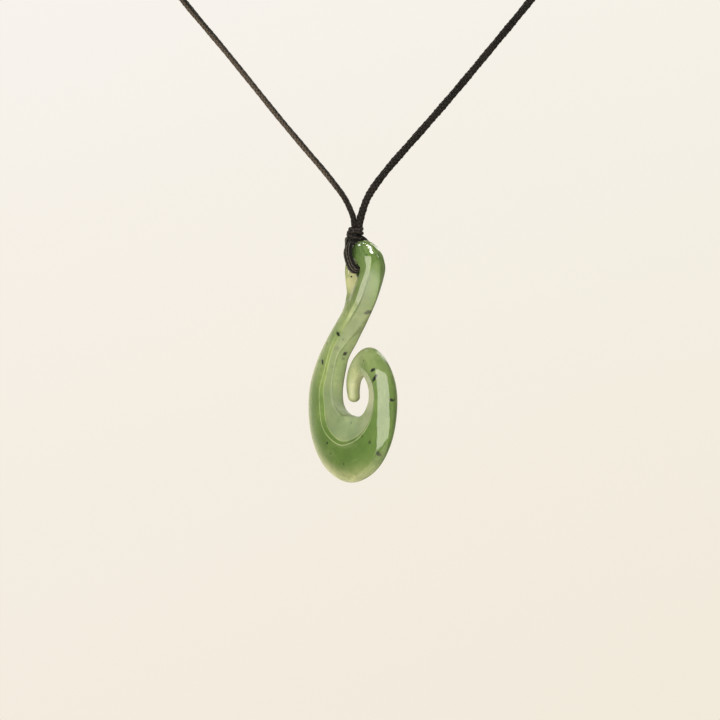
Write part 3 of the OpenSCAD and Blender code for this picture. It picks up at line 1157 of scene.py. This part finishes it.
def thin_tones(n, plane, along, across, depth, colour):
    """Thin stone lets light through: pale at the edges, in the hollow by the eye and at the point."""
    rim = n.times(n.step(depth, 2.9, 1.2), n.window(along, 0.22, 0.32, 0.56, 0.65), n.step(across, 0.15, 0.70))
    rim = n.times(rim, n.step(along, 0.52, 0.62, 1.1, 0.5))
    hollow = n.times(n.step(depth, 2.45, 1.5), n.step(along, 0.24, 0.16), n.step(across, -0.2, 0.3))
    level = n.add("SeparateXYZ", _0=plane).outputs[2]
    # mm from the drilled hole's own axis
    axis = n.add("VectorMath", {"operation": "MULTIPLY_ADD"}, _0=plane, _1=(1.0, 0.0, 1.0), _2=(-EYE_SHIFT, 0.0, 0.0))
    off_axis = n.add("VectorMath", {"operation": "LENGTH"}, _0=axis).outputs["Value"]
    bored = n.step(off_axis, EYE_R + 0.4, EYE_R + 0.02)
    hollow = n.times(hollow, n.step(level, 2.5, 0.5), n.opposite(bored))
    # painted shade: the wall of the drilled hole is a darker green
    colour = n.blend(bored, colour, BORE_SHADE)
    # painted reflection: an olive band along the outer edge of the foot
    olive_reflection = n.times(n.window(along, 0.42, 0.48, 0.505, 0.550), n.step(across, 0.05, 0.60))
    colour = n.blend(n.times(olive_reflection, 0.7), colour, FOOT_OLIVE_REFLECTION)
    colour = n.blend(n.times(n.maths("MAXIMUM", rim, hollow), 0.85), colour, THIN_PALE)
    head_side = n.times(n.step(across, -0.55, -0.82), n.step(along, 0.20, 0.13))
    return n.blend(n.times(head_side, 0.75), colour, HEAD_SIDE_GREEN)


def clouded(n, plane, along, across, depth, colour):
    """Clouds in the stone, and streaks drawn out the long way of the hook."""
    cloud = n.noise(plane, 0.16, 3.0, Roughness=0.55)
    fine = n.noise(plane, 0.9, 4.0, Roughness=0.6)
    flow = n.add("CombineXYZ", _0=n.times(along, 9.0), _1=n.times(across, 2.4), _2=n.times(depth, 0.3))
    streak = n.noise(flow, 1.6, 4.0, Roughness=0.6, Distortion=0.4)
    shade = n.step(cloud, 0.3, 0.7, 0.82, 1.22)
    tint = n.add("CombineColor", _0=shade, _1=n.step(cloud, 0.3, 0.7, 0.86, 1.16), _2=shade)
    colour = n.blend(1.0, colour, tint, "MULTIPLY")
    colour = n.blend(n.step(streak, 0.5, 0.75, 0.0, 0.30), colour, STREAK_PALE)
    return n.blend(n.step(fine, 0.50, 0.75, 0.0, 0.36), colour, GROOVE_SHADE_AND_MOTTLE)


def speck_mask(n, plane):
    """How much of each place is speck, with the outlines broken by a little noise."""
    warp = n.add("TexNoise", _0=plane, Scale=2.6, Detail=3.0).outputs["Color"]
    moved = n.add("VectorMath", {"operation": "MULTIPLY_ADD"}, _0=warp, _1=(0.5, 0.0, 0.5), _2=plane)
    moved = n.add("VectorMath", {"operation": "SUBTRACT"}, _0=moved, _1=(0.25, 0.0, 0.25)).outputs[0]
    dark = 0.0
    for across, up, size, stretch, lean, soft, strength, *wall_place in SPECKS:
        one = n.add(
            "Group", {"node_tree": speck}, Place=moved, Across=across, Up=up, Size=size, Stretch=stretch,
            Lean=radians(lean), Softness=soft, **dict(zip(("Deep", "Reach"), wall_place)),
        )
        dark = n.maths("MAXIMUM", dark, n.times(one.outputs[0], strength))
    return dark


def greenstone():
    """Polished, slightly translucent stone whose tones follow the carving."""
    material, n, shader = new_material(
        "polished_greenstone", IOR=1.62, Specular_IOR_Level=0.5, Coat_Weight=0.0, Coat_Roughness=0.03,
        Subsurface_Weight=0.35, Subsurface_Scale=0.0016, Subsurface_Radius=(0.8, 1.0, 0.5),
    )
    shader.subsurface_method = "RANDOM_WALK"
    a = radians(HOOK_TURN)
    # mm in the stone's own plane: across, deep, up, from the eye
    plane = n.add(
        "Mapping", {"vector_type": "POINT"}, Vector=n.object_place(), Location=tuple(Matrix.Rotation(a, 3, "Z") @ -EYE),
        Rotation=(0, 0, a), Scale=(1 / MM, 1 / MM, 1 / MM),
    ).outputs[0]
    along, across, fold, facet, depth = (n.value(k) for k in ("along", "across", "fold", "facet", "depth"))
    crest = n.plus(fold, facet)
    inside = n.times(n.step(crest, 0.1, -0.3), n.window(along, 0.16, 0.23, 0.78, 0.86))
    dark = speck_mask(n, plane)
    colour = carved_tones(n, along, across, fold, crest, inside)
    colour = thin_tones(n, plane, along, across, depth, colour)
    colour = clouded(n, plane, along, across, depth, colour)
    n.feed(shader.inputs["Base Color"], n.blend(dark, colour, SPECK_BLACK))

    # less polished on the specks, inside the fold and at the point
    smear = n.noise(plane, 0.7, 3.0)
    flank = n.times(n.step(crest, 0.15, -0.35), n.window(along, 0.055, 0.085, 0.16, 0.23))
    rough = n.plus(
        n.step(smear, 0.35, 0.75, 0.05, 0.12), n.times(dark, 0.12), n.times(inside, 0.42), n.times(flank, 0.34),
        n.step(along, 0.84, 0.93, 0.0, 0.46),
    )
    n.feed(shader.inputs["Roughness"], rough)
    wave = n.noise(plane, 0.35, 1.0)
    n.feed(shader.inputs["Normal"], n.add("Bump", Strength=0.25, Distance=0.0003, Height=wave))
    return material


speck = speck_group()
make_hook(greenstone())


# ---------------------------------------------------------------- studio
FLOOR = -0.30  # m
FLAT_R, BEND_R = 1.0, 1.6  # m: the flat middle of the floor, and its bend upwards
BEND_STEPS = 16


def make_sweep():
    """A pale floor that rises softly all round."""
    profile = [(0.0, 0, FLOOR), (0.5, 0, FLOOR), (FLAT_R, 0, FLOOR)]
    for i in range(1, BEND_STEPS + 1):
        a = pi / 2 * i / BEND_STEPS
        profile.append((FLAT_R + BEND_R * sin(a), 0, FLOOR + BEND_R * (1 - cos(a))))
    profile += [(FLAT_R + BEND_R, 0, 2.2), (FLAT_R + BEND_R, 0, 3.0)]
    bm = spun(profile, (0, 0, 1), 96)
    bmesh.ops.reverse_faces(bm, faces=bm.faces)
    sweep = object_from("studio_sweep", bm)
    sweep.data.shade_smooth()
    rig.stage(sweep)

    material = bpy.data.materials.new("cream_paper")
    n = empty_nodes(material)
    place = n.add("SeparateXYZ", _0=n.object_place())
    height = n.add("MapRange", _0=place.outputs[2], _1=FLOOR, _2=0.16).outputs[0]
    left_right = n.add("MapRange", _0=place.outputs[0], _1=-0.33, _2=0.33).outputs[0]
    tone = n.blend(height, rgb(0.894, 0.836, 0.725), rgb(0.930, 0.893, 0.822))
    tone = n.blend(1.0, tone, n.blend(left_right, rgb(1.008, 1.003, 1.030), rgb(0.985, 0.985, 0.972)), "MULTIPLY")
    n.feed(n.add("OutputMaterial").inputs["Surface"], n.add("Emission", Color=tone, Strength=1.0))
    sweep.data.materials.append(material)
    # it shows to the camera alone, so that its own light doesn't flatten the stone
    sweep.visible_diffuse = sweep.visible_glossy = sweep.visible_transmission = sweep.visible_shadow = False


make_sweep()

LIT_PLACE = Vector((0.0, -0.109, -0.119))  # m, on the pendant
WARM, NEUTRAL = (1.0, 0.93, 0.83), (1.0, 0.98, 0.95)
# [azimuth and elevation in degrees, distance, width and height in m, radiance, tint], seen from the pendant:
# azimuth 0 is the camera's side, and positive is its right
SOFT_BOXES = {
    "front_left_box": [-12, 3.5, 0.60, 0.93, 1.10, 5.0, WARM],
    "top_strip": [146, 80, 0.55, 0.62, 0.010, 44, NEUTRAL],
    "rim_strip": [99, 60, 0.70, 0.05, 0.57, 8, NEUTRAL],
    "back_right_box": [150, 36, 0.70, 0.16, 0.30, 3.5, NEUTRAL],
    "back_left_box": [-122, 48, 0.70, 0.10, 0.10, 14, NEUTRAL],
}


def soft_light(name, azimuth, elevation, away, wide, high, radiance, tint):
    """A flat soft box, aimed at the pendant."""
    a, e = radians(azimuth), radians(elevation)
    way = Vector((sin(a) * cos(e), -cos(a) * cos(e), sin(e)))
    data = bpy.data.lights.new(name, "AREA")
    data.shape = "RECTANGLE"
    data.size, data.size_y = wide, high
    data.energy = radiance * pi * wide * high
    data.color = tint
    light = bpy.data.objects.new(name, data)
    scene.collection.objects.link(light)
    light.location = LIT_PLACE + way * away
    light.rotation_euler = way.to_track_quat("Z", "Y").to_euler()
    light.visible_camera = False


for name, sizes in SOFT_BOXES.items():
    soft_light(name, *sizes)


def make_world():
    """Dim at the sides, pale behind, as in a room with a lit paper backdrop."""
    world = bpy.data.worlds.new("studio_air")
    scene.world = world
    n = empty_nodes(world)
    way = n.add("SeparateXYZ", _0=n.add("TexCoord").outputs["Generated"])
    behind = n.step(way.outputs[1], 0.3, 0.8)
    far_wall = n.blend(n.step(way.outputs[0], -0.15, 0.15), rgb(1.15, 1.12, 0.86), rgb(0.52, 0.56, 0.36))
    tone = n.blend(behind, rgb(0.24, 0.235, 0.20), far_wall)
    below = n.step(way.outputs[2], -0.66, -0.69)
    tone = n.blend(below, tone, rgb(1.45, 1.25, 0.95))
    n.feed(n.add("OutputWorld").inputs["Surface"], n.add("Background", Color=tone, Strength=1.0))


make_world()
scene.view_settings.view_transform = "Standard"
scene.view_settings.look = "None"

json.dump(
    {"cad": [list(map(float, c)) for c in cad_box], "visual": [list(map(float, c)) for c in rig.bounds()]},
    open("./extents.json", "w"),
)
